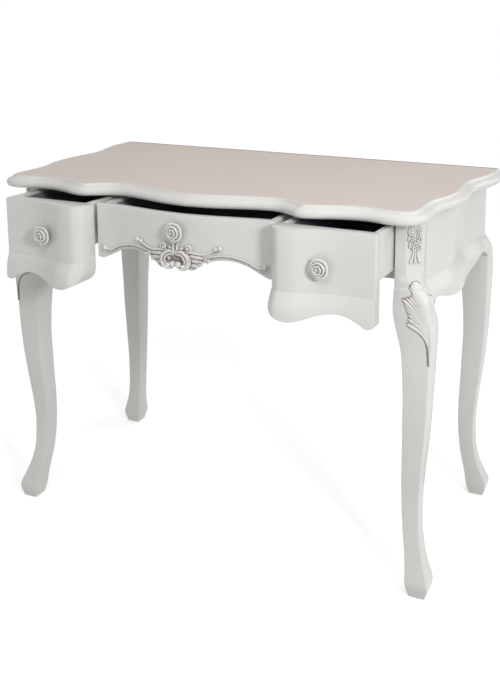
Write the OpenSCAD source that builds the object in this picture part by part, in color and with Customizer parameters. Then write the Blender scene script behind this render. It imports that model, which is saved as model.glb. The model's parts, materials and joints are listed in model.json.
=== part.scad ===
// Serpentine dressing table on cabriole legs: three open drawers, carved trim and rose knobs.
// Closed drawer faces are drawn against y = 0, the front plane of the corner posts, and
// each moving piece is then slid forward by how far its drawer stands open.

/* [Overall] */
// Height from the floor to the writing surface
table_h = 780; // [720:1:820]
// Half the width of the top at its back corners
half_w = 510; // [508:1:514]
// Distance from the post fronts back to the rear edge of the top
rear_y = 484; // [482:1:490]
// Thickness of the moulded top
top_t = 25; // [20:1:30]

/* [Legs] */
// Half the spacing of the front legs
front_foot_x = 458; // [457:1:460]
// Distance of the front legs' middle behind the post fronts
front_foot_y = 25; // [24:1:27]
// Half the spacing of the back legs
back_foot_x = 466; // [465:1:468]
// Distance of the back legs' middle behind the post fronts
back_foot_y = 459; // [457:1:460]
// How far the feet stand out beyond the posts
foot_splay = 14; // [0:1:20]
// Height of the nylon glide under each foot
glide_h = 2; // [1:0.5:4]
// Radius of the nylon glide under each foot
glide_r = 9; // [6:1:12]
// Width of the chamfer on each front post
post_chamfer = 24; // [16:1:26]

/* [Apron] */
// Height of the crease below which the faces swell out
ledge_z = 630; // [624:1:636]
// How far the swelling stands out at its fullest
swell = 20; // [10:1:22]
// Thickness of a side panel
side_t = 18; // [14:1:20]
// Thickness of the back panel
back_t = 16; // [12:1:18]
// Thickness of a partition between two drawers
partition_t = 11; // [8:1:12]

/* [Drawers] */
// Outer end of a side drawer's face
face_outer_x = 407; // [404:1:408]
// Inner end of a side drawer's face
face_inner_x = 204; // [203:1:207]
// End of the centre drawer's face
centre_end_x = 200.5; // [198:0.5:201]
// Top edge of every drawer
drawer_top_z = 746; // [742:1:748]
// Underside of every drawer box
box_bottom_z = 657; // [656:1:660]
// Depth of a drawer box behind its face
box_len = 372; // [300:1:380]
// Thickness of a drawer's side and back boards
board_t = 12; // [10:1:14]
// Thickness of a drawer's bottom panel
bottom_t = 6; // [4:1:8]
// Depth of the groove that holds the bottom panel
groove = 5; // [3:1:6]
// Depth of the housings and rebates that hold the runners
housing = 2; // [1:0.5:4]
// Thickness of the dark flock lining
lining_t = 1.2; // [1:0.1:2]
// How far the left drawer stands open
open_left = 107; // [0:1:150]
// How far the centre drawer stands open
open_centre = 83; // [0:1:150]
// How far the right drawer stands open
open_right = 97; // [0:1:150]

/* [Knobs and trim] */
// Radius of a rose knob
rose_r = 21; // [16:1:24]
// How far a rose knob stands out
rose_d = 25; // [18:1:30]
// Height of the side drawers' knobs
side_knob_z = 678; // [670:1:690]
// Height of the centre drawer's knob
centre_knob_z = 713; // [708:1:716]
// Radius of a knob screw
screw_r = 2; // [1.5:0.25:2.5]
// Thickness of a leaf laid over a leg's knee
leaf_t = 6; // [4:1:8]

/* [Hidden] */
$fn = 40;

// The front-most point is the swelling of the left drawer's lobe.
lobe_y = -23;
front_reach = lobe_y - swell - open_left;
// Moves the front planes so that the origin is below the middle of the object's box.
frame_y = -(front_reach + rear_y) / 2;
top_under_z = table_h - top_t;
running_gap = 0.5;
front_back_y = 26;
box_inset = 9;
box_back_y = front_back_y + box_len;
rail_y = 34;
rail_depth = 22;
rail_z = 632;
runner_top_z = box_bottom_z - running_gap;
runner_t = 12;
runner_w = 20;
rail_lap = 8;
back_panel_y = 446;
post_inner = 47;
post_side_y = 48;
back_post_y = back_foot_y - 28;
centre_t = 20;
knob_x = (face_outer_x + face_inner_x) / 2;
white = [0.93, 0.91, 0.87];
cream = [0.90, 0.87, 0.81];
brown = [0.62, 0.50, 0.36];
dark = [0.13, 0.14, 0.16];
steel = [0.70, 0.70, 0.70];

// ---- curves ----

// One point of a Catmull-Rom curve between b and c.
function curve_point(a, b, c, d, t) =
    0.5 * (2 * b + (c - a) * t + (2 * a - 5 * b + 4 * c - d) * t * t
    + (3 * b - a - 3 * c + d) * t * t * t);

// A smooth line through the points p, with n steps between neighbours.
function smooth(p, n) = [
    for (i = [0:len(p) - 2]) for (j = [0:n - 1])
        curve_point(p[max(i - 1, 0)], p[i], p[i + 1], p[min(i + 2, len(p) - 1)], j / n),
    p[len(p) - 1]
];

function flip_x(p) = [-p[0], p[1]];
function reversed(p) = [for (i = [len(p) - 1:-1:0]) p[i]];
function unit(v) = v / norm(v);

// Right half of the top's edge, from the middle of the front to the back corner.
top_half = [
    [0, -70], [51.5, -64], [108, -49], [155, -38], [188, -38], [216, -52], [241.5, -68],
    [270, -66], [302.5, -54], [338.5, -45], [371.5, -44], [404, -50], [437, -52], [460.5, -41],
    [472, -16], [472, 22], [471, 60], [475.5, 95], [487, 132], [492.5, 176], [491.5, 220],
    [487, 262], [485, 296], [489.5, 328], [499, 362], [506.5, 395], [half_w, 430],
    [half_w, rear_y]
];
top_edge = smooth(top_half, 4);

// The top's edge moved inwards by d, along its own normals.
function inset_edge(d) = [
    for (i = [0:len(top_edge) - 1])
        let (
            a = top_edge[max(i - 1, 0)],
            b = top_edge[min(i + 1, len(top_edge) - 1)],
            t = unit(b - a),
            n = i == 0 ? [0, -1] : i == len(top_edge) - 1 ? [1, 0] : [t[1], -t[0]]
        )
        top_edge[i] - d * n
];
function whole_edge(d) = concat(
    inset_edge(d),
    [for (p = reversed(inset_edge(d))) if (p[0] > 0) flip_x(p)]
);

// Plan of a side drawer's face: depth of the face at each x.
side_face = smooth([
    [face_inner_x, 6], [face_inner_x + 4, -8], [face_inner_x + 16, -20], [233, lobe_y],
    [258.5, -20], [285, -11], [313, -3], [343, 1], [376, 1], [face_outer_x, 0]
], 3);
// Lower edge of a side drawer's face: height at each x.
side_hem = smooth([
    [face_inner_x, 614], [208.5, 597], [222, 585], [240.5, 578], [263, 578], [286.5, 585],
    [310, 592.5], [335.5, 596], [359, 592.5], [380, 582], [395, 574], [face_outer_x, 577]
], 3);

// Share of the swelling at each x of a side drawer's face: it dies down towards the post.
swell_share = [[285, 1], [face_outer_x, 0.5]];

// Plan of the centre drawer's face.
centre_face = smooth([
    [0, -16], [56.5, -12], [113, -3], [164.5, 6], [centre_end_x, 7]
], 4);
// Lower edge of the centre drawer's face.
centre_hem = smooth([
    [0, 645], [28, 647], [58.5, 655], [89.5, 662], [117.5, 662], [145.5, 654], [169, 642],
    [188, 634], [centre_end_x, 636]
], 4);

// Plan of a side panel's outer face, as distance from the middle at each y.
panel_face = smooth([
    [post_side_y, 458], [90, 459.5], [135, 465.5], [180, 468], [225, 466], [270, 460.5],
    [305, 458.5], [340, 461.5], [380, 467], [back_post_y, 470]
], 3);
// Lower edge of a side panel.
panel_hem = smooth([
    [post_side_y, 588], [60, 597], [85, 594], [130, 582], [190, 573], [250, 573], [310, 583],
    [360, 596], [395, 604], [418, 600], [back_post_y, 588]
], 3);

// How far a face stands out at height z: nothing above the crease, full near its hem.
function swelling(z) = z >= ledge_z ? 0 : swell * sin(90 * min(1, (ledge_z - z) / 42));

// A closed solid through rings of equal length, with flat ends.
module skin(rings) {
    k = len(rings[0]);
    last = len(rings) - 1;
    sides = [
        for (i = [0:last - 1]) for (j = [0:k - 1])
            let (a = i * k + j, b = i * k + (j + 1) % k)
            each [[a, b + k, b], [a, a + k, b + k]]
    ];
    polyhedron(
        points = [for (r = rings) each r],
        faces = concat(
            [[for (j = [0:k - 1]) j]],
            sides,
            [[for (j = [k - 1:-1:0]) last * k + j]]
        ),
        convexity = 6
    );
}

// ---- table top ----

module table_top() {
    // Each layer of the moulded edge is [inset, lower height, upper height].
    layers = [[6, 0, 4], [0, 4, 18], [4, 18, 22], [11, 22, 25]];
    color(white)
    difference() {
        for (layer = layers)
            translate([0, frame_y, top_under_z + layer[1] * top_t / 25])
                linear_extrude((layer[2] - layer[1]) * top_t / 25)
                    polygon(whole_edge(layer[0]));
        for (side = [-1, 1]) for (end = [-1, 1])
            at_corner(side, end)
                translate([top_screw_x, post_back(end) - block_len / 2, block_z])
                    cylinder(r = top_screw_r, h = top_screw_len + 1);
    }
}

// ---- legs ----

// Each station is [height, inner x, outer x, inner y, outer y] about the middle of the foot.
shank = [
    for (s = [
        [glide_h, -16, 16], [22, -21, 22], [36, -23, 22], [56, -25, 15], [84, -29.5, 5.5],
        [120, -34.5, -1.5], [160, -37.5, -3.5], [200, -38.5, -3], [250, -37.5, 1.5],
        [300, -35, 7.5], [350, -33, 13], [400, -31, 17], [450, -31.5, 20], [500, -34, 22]
    ])
    [s[0], s[1], s[2], s[1], s[2]]
];
front_leg_stations = concat(shank, [
    [535, -41, 23, -37, 25], [560, -46, 22, -33, 27], [583, -48, 19, -23, 30],
    [604, -post_inner, 16, -23, 31], [622, -post_inner, 6, -23, 28],
    [640, -post_inner, -1, -23, front_foot_y], [top_under_z, -post_inner, -1, -23, front_foot_y]
]);
back_leg_stations = concat(shank, [
    [535, -39, 23.5, -35, 23], [560, -44, 24, -32, 24], [583, -45, 23, -28, 24],
    [604, -44, 20, -28, 23], [622, -44, 9, -28, 21], [640, -44, 4, -28, 20],
    [top_under_z, -44, 4, -28, 20]
]);

// How far a leg's middle leans out at height z.
function splay(z) = foot_splay * max(0, 1 - z / 600);

// A leg of square section through its stations, grown by g all round, leaning out by lean_y.
module leg_blank(stations, lean_y, g) {
    skin([
        for (s = smooth(stations, 3))
            let (x = splay(s[0]), y = lean_y * x)
            [
                [s[1] - g + x, s[3] - g + y, s[0]], [s[2] + g + x, s[3] - g + y, s[0]],
                [s[2] + g + x, s[4] + g + y, s[0]], [s[1] - g + x, s[4] + g + y, s[0]]
            ]
    ]);
}

// The front right leg about its foot, mirrored so that +y is forwards.
module front_leg_blank(g) {
    difference() {
        leg_blank(front_leg_stations, 1, g);
        translate([-1 - post_chamfer, front_foot_y, ledge_z + 10])
            rotate([0, 0, -45])
                cube([60, 40, 200]);
    }
}

// Puts a leg at a corner: side is 1 on the right, and end is -1 at the front.
module at_corner(side, end) {
    x = end < 0 ? front_foot_x : back_foot_x;
    y = end < 0 ? front_foot_y : back_foot_y;
    translate([side * x, frame_y + y, 0])
        mirror([side < 0 ? 1 : 0, 0, 0])
            mirror([0, end < 0 ? 1 : 0, 0])
                children();
}

bolt_r = 3;
bolt_x = -31;
bolt_z = [727, 743];
block_x = -36;
block_w = 17;
block_len = 30;
block_z = 715;

// Distance of a post's inner face from the middle of its foot, away from the corner.
function post_back(end) = end < 0 ? -23 : -28;

// Clearance of the two leg bolts, along the leg's inward y direction.
module leg_bolt_holes() {
    for (z = bolt_z)
        translate([bolt_x, 0, z])
            rotate([90, 0, 0])
                cylinder(r = bolt_r, h = 60);
}

module front_leg(side) {
    color(white)
    at_corner(side, -1)
        difference() {
            front_leg_blank(0);
            leg_bolt_holes();
        }
}

module back_leg(side) {
    color(white)
    at_corner(side, 1)
        difference() {
            leg_blank(back_leg_stations, 0, 0);
            leg_bolt_holes();
        }
}

module leg_front_left() { front_leg(-1); }
module leg_front_right() { front_leg(1); }
module leg_back_left() { back_leg(-1); }
module leg_back_right() { back_leg(1); }

module foot_glides() {
    color("gray")
    for (side = [-1, 1]) for (end = [-1, 1])
        at_corner(side, end)
            translate([foot_splay, end < 0 ? foot_splay : 0, 0])
                cylinder(r = glide_r, h = glide_h);
}

// ---- apron ----

// One side panel: rings across its thickness, from the front post to the back leg.
module side_panel(side) {
    rings = [
        for (p = panel_face)
            let (
                hem = lookup(p[0], panel_hem),
                zs = [for (i = [0:5]) ledge_z + (hem - ledge_z) * i / 5]
            )
            concat(
                [[p[1] - side_t, p[0], top_under_z], [p[1], p[0], top_under_z]],
                [for (z = zs) [p[1] + swelling(z), p[0], z]],
                [[p[1] - side_t + swelling(hem) * 0.6, p[0], hem], [p[1] - side_t, p[0], ledge_z]]
            )
    ];
    color(white)
    translate([0, frame_y, 0])
        mirror([side < 0 ? 1 : 0, 0, 0])
            skin(rings);
}

module side_panel_left() { side_panel(-1); }
module side_panel_right() { side_panel(1); }

back_span = back_foot_x - 44;

module back_panel() {
    color(white)
    translate([-back_span, frame_y + back_panel_y, rail_z])
        cube([2 * back_span, back_t, top_under_z - rail_z]);
}

rail_span = front_foot_x - post_inner;

module lower_front_rail() {
    color(white)
    translate([-rail_span, frame_y + rail_y, rail_z])
        difference() {
            cube([2 * rail_span, rail_depth, runner_top_z - rail_z]);
            // Rebates that take the front ends of the runners
            for (x = runner_x)
                translate([rail_span + x[0], rail_depth - rail_lap, runner_top_z - rail_z - runner_t])
                    cube([x[1] - x[0], 20, 40]);
        }
}

partition_x = (face_inner_x + box_inset + centre_end_x - 5) / 2;

module partition(side) {
    color(white)
    translate([side * partition_x - partition_t / 2, frame_y + rail_y, 0])
        difference() {
            translate([0, 0, rail_z])
                cube([partition_t, back_panel_y - rail_y, top_under_z - rail_z]);
            // Notch over the lower rail
            translate([-20, -1, rail_z - 1])
                cube([40 + partition_t, rail_depth + 1, runner_top_z - rail_z + 1]);
            // Housings for the runners on both faces
            translate([-20, rail_depth - rail_lap, runner_top_z - runner_t])
                cube([20 + housing, back_panel_y, runner_t]);
            translate([partition_t - housing, rail_depth - rail_lap, runner_top_z - runner_t])
                cube([20, back_panel_y, runner_t]);
        }
}

module partition_left() { partition(-1); }
module partition_right() { partition(1); }

// Runners, as [from x, to x]: the outer ones carry a guide strip as well.
p_in = partition_x - partition_t / 2 + housing;
p_out = partition_x + partition_t / 2 - housing;
guide_x = face_outer_x + 1;
guide_t = 14;
guide_h = 24;
runner_x = [
    [-guide_x - guide_t, runner_w - guide_x], [-p_out - runner_w, -p_out], [-p_in, runner_w - p_in],
    [p_in - runner_w, p_in], [p_out, p_out + runner_w], [guide_x - runner_w, guide_x + guide_t]
];
runner_y = rail_y + rail_depth - rail_lap;

module runner(i) {
    x = runner_x[i];
    color(cream)
    translate([x[0], frame_y + runner_y, runner_top_z - runner_t])
        cube([x[1] - x[0], back_panel_y - runner_y, runner_t]);
}

// An outer runner has a guide that stands beside the drawer, behind the post.
module outer_runner(i, side) {
    runner(i);
    color(cream)
    translate([side > 0 ? guide_x : -guide_x - guide_t, frame_y + post_side_y, runner_top_z])
        cube([guide_t, back_panel_y - post_side_y, guide_h]);
}

module runner_left_outer() { outer_runner(0, -1); }
module runner_left_inner() { runner(1); }
module runner_centre_left() { runner(2); }
module runner_centre_right() { runner(3); }
module runner_right_inner() { runner(4); }
module runner_right_outer() { outer_runner(5, 1); }

// ---- corner blocks and fasteners ----

top_screw_r = 2.25;
top_screw_x = -22.5;
top_screw_len = 52;

// A block behind the post's inner face, bolted to the post and screwed to the top.
module block(side, end) {
    color(cream)
    at_corner(side, end)
        difference() {
            translate([block_x, post_back(end) - block_len, block_z])
                cube([block_w, block_len, top_under_z - block_z]);
            leg_bolt_holes();
            translate([top_screw_x, post_back(end) - block_len / 2, block_z - 1])
                cylinder(r = top_screw_r, h = 60);
        }
}

module block_front_left() { block(-1, -1); }
module block_front_right() { block(1, -1); }
module block_back_left() { block(-1, 1); }
module block_back_right() { block(1, 1); }

module leg_bolts() {
    color(steel)
    for (side = [-1, 1]) for (end = [-1, 1]) for (z = bolt_z)
        at_corner(side, end)
            translate([bolt_x, post_back(end) - block_len, z])
                rotate([-90, 0, 0]) {
                    cylinder(r = bolt_r, h = block_len + 18);
                    translate([0, 0, -5])
                        cylinder(r = 5.5, h = 5, $fn = 6);
                }
}

module top_screws() {
    color(steel)
    for (side = [-1, 1]) for (end = [-1, 1])
        at_corner(side, end)
            translate([top_screw_x, post_back(end) - block_len / 2, block_z]) {
                cylinder(r = top_screw_r, h = top_screw_len);
                translate([0, 0, -3])
                    cylinder(r = 4.5, h = 3);
            }
}

// ---- drawers ----

knob_head_r = 4.5;
knob_head_h = 3;
knob_bore = 13;
// Room for glue at a joint along a curve
glue_gap = 0.2;
centre_box_x = centre_end_x - 5;
side_box_in = face_inner_x + box_inset;
bottom_z = box_bottom_z + 5;
floor_z = bottom_z + bottom_t;
lining_top_z = drawer_top_z - 6;
knob_base_y = lookup(knob_x - 8, side_face);
centre_knob_y = centre_face[0][1];

// Puts a drawer's piece at its open place.
module drawn_out(open) {
    translate([0, frame_y - open, 0])
        children();
}

// A screw's hole through a drawer's face, with a counterbore on the inside at y.
module knob_screw_hole(x, y, z) {
    translate([x, y, z])
        rotate([90, 0, 0]) {
            cylinder(r = screw_r, h = 80);
            translate([0, 0, -1])
                cylinder(r = knob_head_r, h = knob_head_h + 1);
        }
}

// Face of the right drawer: flat inside, waved in plan outside, swelling below the crease.
module side_front_shape() {
    rings = [
        for (p = side_face)
            let (
                hem = lookup(p[0], side_hem),
                zs = [for (i = [0:5]) ledge_z + (hem - ledge_z) * i / 5]
            )
            concat(
                [[p[0], front_back_y, drawer_top_z], [p[0], p[1], drawer_top_z]],
                [for (z = zs) [p[0], p[1] - swelling(z) * lookup(p[0], swell_share), z]],
                [[p[0], front_back_y, hem]]
            )
    ];
    difference() {
        skin(rings);
        knob_screw_hole(knob_x, front_back_y, side_knob_z);
    }
}

// A drawer's side board, grooved on the face towards the drawer's middle.
module side_board(x, y0, groove_side) {
    len = box_back_y - y0;
    difference() {
        translate([x, y0, box_bottom_z])
            cube([board_t, len, drawer_top_z - box_bottom_z]);
        translate([groove_side > 0 ? x + board_t - groove : x - 1, y0 - 1, bottom_z])
            cube([groove + 1, len + 2, bottom_t]);
    }
}

module back_board(x0, x1) {
    translate([x0, box_back_y - board_t, floor_z])
        cube([x1 - x0, board_t, lining_top_z - floor_z]);
}

// A tray of flock as high as the lining, between its outer and inner outlines, open at the top.
module flock_tray(outer, inner) {
    translate([0, 0, floor_z])
        difference() {
            linear_extrude(lining_top_z - floor_z)
                polygon(outer);
            translate([0, 0, lining_t])
                linear_extrude(drawer_top_z)
                    polygon(inner);
        }
}

// A rectangle from low to high, drawn d inside its edge.
function box_outline(low, high, d) = [
    low + [d, d], [high[0] - d, low[1] + d], high - [d, d], [low[0] + d, high[1] - d]
];

// The widest reach of the face's back where the box's side boards meet it.
centre_box_y = centre_t + max([for (p = centre_face) if (p[0] > centre_box_x - 30) p[1]]);

// The hollow of the centre drawer, drawn d inside its edge, with its front along the face.
function centre_outline(x, d) =
    let (
        front = [for (p = centre_face) if (p[0] < x - d - 1) [p[0], p[1] + centre_t + glue_gap + d]],
        back = box_back_y - board_t - d
    )
    concat(
        [for (p = reversed(front)) if (p[0] > 0) flip_x(p)],
        front,
        [[x - d, centre_box_y + d], [x - d, back], [d - x, back], [d - x, centre_box_y + d]]
    );

// Rose-shaped knob, turned here to its true outer form, with its back at y = 0.
module knob(x, y, z) {
    translate([x, y, z])
        rotate([90, 0, 0])
            difference() {
                rotate_extrude()
                    polygon([
                        [0, 0], [8, 0], [8.5, 1.5], [7, 4], [9, 7], [15, 9], [rose_r - 1, 12],
                        [rose_r, 15], [rose_r - 1, 18], [15, 22], [8, rose_d - 1], [0, rose_d]
                    ]);
                translate([0, 0, -1])
                    cylinder(r = screw_r, h = knob_bore + 1);
            }
}

// A screw from the counterbore at y to the bottom of the bore of a knob whose back is at end_y.
module knob_screw(x, y, end_y, z) {
    translate([x, y, z])
        rotate([90, 0, 0]) {
            cylinder(r = screw_r, h = y - end_y + knob_bore - 1);
            cylinder(r = knob_head_r, h = knob_head_h);
        }
}

side_in_x = side_box_in + board_t;
side_out_x = face_outer_x - board_t;
side_low = [side_in_x, front_back_y];
side_high = [side_out_x, box_back_y - board_t];

// One piece of a side drawer, drawn for the right side and mirrored for the left.
module side_drawer(side, open, piece) {
    drawn_out(open)
        mirror([side < 0 ? 1 : 0, 0, 0]) {
            if (piece == "front") side_front_shape();
            if (piece == "side_a") side_board(side_box_in, front_back_y, 1);
            if (piece == "side_b") side_board(side_out_x, front_back_y, -1);
            if (piece == "back") back_board(side_in_x, side_out_x);
            if (piece == "bottom")
                translate([side_in_x - groove, front_back_y, bottom_z])
                    cube([side_out_x - side_in_x + 2 * groove, box_len, bottom_t]);
            if (piece == "lining")
                flock_tray(
                    box_outline(side_low, side_high, 0), box_outline(side_low, side_high, lining_t)
                );
            if (piece == "knob") knob(knob_x, knob_base_y, side_knob_z);
            if (piece == "knob_screw") knob_screw(knob_x, front_back_y, knob_base_y, side_knob_z);
        }
}

module drawer_left_front() { color(white) side_drawer(-1, open_left, "front"); }
module drawer_left_side_a() { color(white) side_drawer(-1, open_left, "side_a"); }
module drawer_left_side_b() { color(white) side_drawer(-1, open_left, "side_b"); }
module drawer_left_back() { color(cream) side_drawer(-1, open_left, "back"); }
module drawer_left_bottom() { color(cream) side_drawer(-1, open_left, "bottom"); }
module drawer_left_lining() { color(dark) side_drawer(-1, open_left, "lining"); }
module drawer_left_knob() { color(white) side_drawer(-1, open_left, "knob"); }
module drawer_left_knob_screw() { color(steel) side_drawer(-1, open_left, "knob_screw"); }

module drawer_right_front() { color(white) side_drawer(1, open_right, "front"); }
module drawer_right_side_a() { color(white) side_drawer(1, open_right, "side_a"); }
module drawer_right_side_b() { color(white) side_drawer(1, open_right, "side_b"); }
module drawer_right_back() { color(cream) side_drawer(1, open_right, "back"); }
module drawer_right_bottom() { color(cream) side_drawer(1, open_right, "bottom"); }
module drawer_right_lining() { color(dark) side_drawer(1, open_right, "lining"); }
module drawer_right_knob() { color(white) side_drawer(1, open_right, "knob"); }
module drawer_right_knob_screw() { color(steel) side_drawer(1, open_right, "knob_screw"); }

// Face of the centre drawer: a bent board with a scalloped lower edge.
module drawer_centre_front() {
    half = [
        for (p = centre_face)
            let (hem = lookup(p[0], centre_hem))
            [
                [p[0], p[1] + centre_t, drawer_top_z], [p[0], p[1], drawer_top_z],
                [p[0], p[1], hem], [p[0], p[1] + centre_t, hem]
            ]
    ];
    left = [for (r = reversed(half)) if (r[0][0] > 0) [for (q = r) [-q[0], q[1], q[2]]]];
    color(white)
    drawn_out(open_centre)
        difference() {
            skin(concat(left, half));
            knob_screw_hole(0, centre_knob_y + centre_t, centre_knob_z);
        }
}

module drawer_centre_side_a() {
    color(white)
    drawn_out(open_centre)
        side_board(-centre_box_x, centre_box_y, 1);
}

module drawer_centre_side_b() {
    color(white)
    drawn_out(open_centre)
        side_board(centre_box_x - board_t, centre_box_y, -1);
}

module drawer_centre_back() {
    color(cream)
    drawn_out(open_centre)
        back_board(board_t - centre_box_x, centre_box_x - board_t);
}

module drawer_centre_bottom() {
    outline = centre_outline(centre_box_x - board_t, 0);
    color(cream)
    drawn_out(open_centre)
        translate([0, 0, bottom_z])
            linear_extrude(bottom_t) {
                polygon(outline);
                translate([board_t - groove - centre_box_x, centre_box_y])
                    square([2 * (centre_box_x - board_t + groove), box_back_y - centre_box_y]);
            }
}

module drawer_centre_lining() {
    color(dark)
    drawn_out(open_centre)
        flock_tray(
            centre_outline(centre_box_x - board_t, 0),
            centre_outline(centre_box_x - board_t, lining_t)
        );
}

module drawer_centre_knob() {
    color(white)
    drawn_out(open_centre)
        knob(0, centre_knob_y, centre_knob_z);
}

module drawer_centre_knob_screw() {
    color(steel)
    drawn_out(open_centre)
        knob_screw(0, centre_knob_y + centre_t, centre_knob_y, centre_knob_z);
}

// ---- carved trim ----

// Half of the rocaille on the centre drawer: [x, lower z, upper z, thickness].
rocaille = [
    [0, 634, 678, 10], [9.5, 631, 682, 14], [22.5, 634, 692, 14], [35.5, 641, 688, 11],
    [49, 647, 674, 9], [62, 653, 672, 7], [77, 660, 684, 6], [88.5, 664, 686, 6],
    [96, 665, 676, 5], [117.5, 665, 673, 4], [141, 659, 667, 4], [161.5, 649, 658, 4],
    [169, 648, 662, 5], [176, 649, 665, 6], [180.5, 653, 661, 5]
];

module centre_ornament() {
    half = [
        for (c = rocaille)
            let (y = lookup(c[0], centre_face) - glue_gap, mid = y - c[3])
            [
                [c[0], y, c[2]], [c[0], mid, c[2] - 1], [c[0], mid, c[1] + 1], [c[0], y, c[1]]
            ]
    ];
    left = [for (r = reversed(half)) if (r[0][0] > 0) [for (q = r) [-q[0], q[1], q[2]]]];
    color(brown)
    drawn_out(open_centre)
        skin(concat(left, half));
}

// Half outline of the flower drop on a post, as [half width, height].
drop_outline = [
    [2, 673], [8, 674], [5, 684], [9, 692], [12, 704], [9, 712], [13, 722], [14, 733], [9, 741],
    [3, 743]
];
drop_t = 7;
// Half outline of the leaf on a knee, as [half width, height].
leaf_outline = [
    [2, 476], [6, 492], [13, 510], [22, 528], [30, 548], [38, 566], [42, 586], [40, 606],
    [30, 620], [18, 626], [14, 634], [4, 638]
];

// A plate cut to an outline, standing out along the corner's diagonal.
module corner_plate(outline, thickness) {
    rotate([90, 0, 135])
        linear_extrude(thickness)
            polygon(concat(outline, [for (p = reversed(outline)) flip_x(p)]));
}

module corner_drop(side) {
    middle = -1 - post_chamfer / 2;
    color(brown)
    at_corner(side, -1)
        translate([middle, front_foot_y - post_chamfer / 2, 0])
            corner_plate(drop_outline, drop_t);
}

module corner_drop_left() { corner_drop(-1); }
module corner_drop_right() { corner_drop(1); }

// The leaf is the skin of a slightly grown leg, inside the leaf's outline.
module knee_leaf(side) {
    color(brown)
    at_corner(side, -1)
        intersection() {
            difference() {
                front_leg_blank(leaf_t);
                front_leg_blank(glue_gap / 2);
            }
            corner_plate(leaf_outline, 90);
        }
}

module knee_leaf_left() { knee_leaf(-1); }
module knee_leaf_right() { knee_leaf(1); }

table_top();
side_panel_left();
side_panel_right();
back_panel();
lower_front_rail();
partition_left();
partition_right();
leg_front_left();
leg_front_right();
leg_back_left();
leg_back_right();
foot_glides();
runner_left_outer();
runner_left_inner();
runner_centre_left();
runner_centre_right();
runner_right_inner();
runner_right_outer();
block_front_left();
block_front_right();
block_back_left();
block_back_right();
leg_bolts();
top_screws();
corner_drop_left();
corner_drop_right();
knee_leaf_left();
knee_leaf_right();
drawer_left_front();
drawer_left_side_a();
drawer_left_side_b();
drawer_left_back();
drawer_left_bottom();
drawer_left_lining();
drawer_left_knob();
drawer_left_knob_screw();
drawer_centre_front();
drawer_centre_side_a();
drawer_centre_side_b();
drawer_centre_back();
drawer_centre_bottom();
drawer_centre_lining();
drawer_centre_knob();
drawer_centre_knob_screw();
centre_ornament();
drawer_right_front();
drawer_right_side_a();
drawer_right_side_b();
drawer_right_back();
drawer_right_bottom();
drawer_right_lining();
drawer_right_knob();
drawer_right_knob_screw();
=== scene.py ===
"""Looks of the serpentine dressing table: mouldings, carving, lacquer, light and camera.

Shapes are in millimetres; the floor, lights and camera are in metres. In the tables y = 0 is the
front plane of the corner posts, with the drawers closed. The frame's boxes give the table's own
place, how far each drawer stands open, and the places of the plain boards and the knobs.
"""

import json
import math

import bmesh
import bpy
import numpy as np
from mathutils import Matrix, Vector


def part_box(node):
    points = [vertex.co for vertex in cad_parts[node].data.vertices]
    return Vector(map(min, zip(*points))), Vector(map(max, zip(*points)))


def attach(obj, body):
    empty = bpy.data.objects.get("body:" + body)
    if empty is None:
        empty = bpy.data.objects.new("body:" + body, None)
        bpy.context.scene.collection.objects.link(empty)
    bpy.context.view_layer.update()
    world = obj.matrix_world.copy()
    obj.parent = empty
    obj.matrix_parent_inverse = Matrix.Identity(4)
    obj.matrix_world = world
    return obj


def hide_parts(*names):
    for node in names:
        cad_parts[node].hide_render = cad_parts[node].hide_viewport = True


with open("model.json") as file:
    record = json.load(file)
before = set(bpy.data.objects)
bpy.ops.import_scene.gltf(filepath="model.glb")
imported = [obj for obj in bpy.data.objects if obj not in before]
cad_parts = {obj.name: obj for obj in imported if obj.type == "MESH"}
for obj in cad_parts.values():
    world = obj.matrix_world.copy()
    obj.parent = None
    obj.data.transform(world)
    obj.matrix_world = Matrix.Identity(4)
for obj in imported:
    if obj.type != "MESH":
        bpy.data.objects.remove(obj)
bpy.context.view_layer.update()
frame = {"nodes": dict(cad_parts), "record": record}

MM = 0.001

# ---- places read from the frame ----

REAR_Y = 484  # the top's straight rear edge
BOX_REAR_Y = 398  # the rear of a closed drawer
TOP_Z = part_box("table_top")[1].z / MM
FRAME_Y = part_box("table_top")[1].y / MM - REAR_Y


def open_by(drawer):
    """How far a drawer stands open, from the place of its back board."""
    return BOX_REAR_Y + FRAME_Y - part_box("drawer_%s_back" % drawer)[1].y / MM


def hand(side):
    """The word for a side, -1 or 1, in the pieces' names."""
    return "right" if side > 0 else "left"


# ---- curves shared with the CAD ----

# Outline of the top's right half, from the middle of the front: (x, y).
TOP_HALF = [
    (0, -70), (51.5, -64), (108, -49), (155, -38), (188, -38), (216, -52), (241.5, -68),
    (270, -66), (302.5, -54), (338.5, -45), (371.5, -44), (404, -50), (437, -52), (460.5, -41),
    (472, -16), (472, 22), (471, 60), (475.5, 95), (487, 132), (492.5, 176), (491.5, 220),
    (487, 262), (485, 296), (489.5, 328), (499, 362), (506.5, 395), (510, 430), (510, REAR_Y),
]
# The right drawer's face in plan, (x, y), and its lower edge, (x, z).
SIDE_FACE = [
    (204, 6), (208, -8), (220, -20), (233, -23), (258.5, -20), (285, -11), (313, -3),
    (343, 1), (376, 1), (407, 0),
]
SIDE_HEM = [
    (204, 614), (208.5, 597), (222, 585), (240.5, 578), (263, 578), (286.5, 585),
    (310, 592.5), (335.5, 596), (359, 592.5), (380, 582), (395, 574), (407, 577),
]
# The right half of the centre drawer's face, in the same way.
CENTRE_FACE = [(0, -16), (56.5, -12), (113, -3), (164.5, 6), (200.5, 7)]
CENTRE_HEM = [
    (0, 645), (28, 647), (58.5, 655), (89.5, 662), (117.5, 662), (145.5, 654), (169, 642),
    (188, 634), (200.5, 636),
]
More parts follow.
